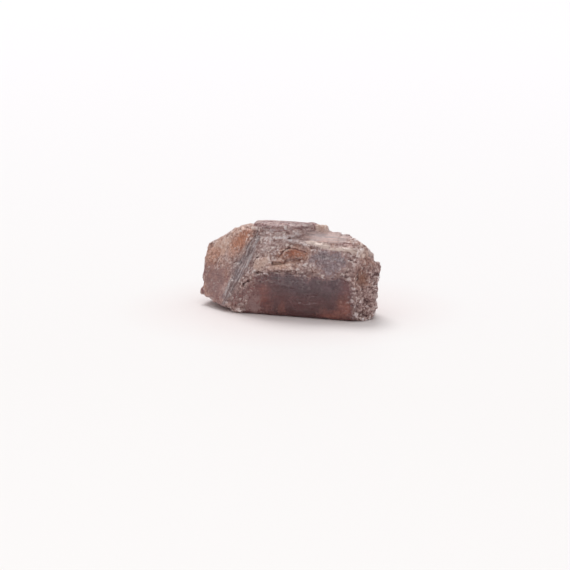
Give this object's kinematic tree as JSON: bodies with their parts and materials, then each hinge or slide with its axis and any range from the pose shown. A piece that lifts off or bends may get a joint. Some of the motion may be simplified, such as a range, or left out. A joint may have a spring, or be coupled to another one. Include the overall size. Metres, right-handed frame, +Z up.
{
  "type": "enstatite crystal",
  "caption": "Rough single crystal of enstatite, an elongated prism broken off at both ends, with a flat top, long front wall, broken terraces and a flat underside to rest on.",
  "frame": {"origin": "middle of the bounding box at the height of the flat underside", "axes": "+X along the crystal towards its rough right end, +Y towards its back, +Z up"},
  "size_m": [0.0196, 0.0072, 0.0091],
  "materials": {
    "crystal": "satin"
  },
  "bodies": {
    "root": {"crystal": "crystal"}
  },
  "joints": []
}
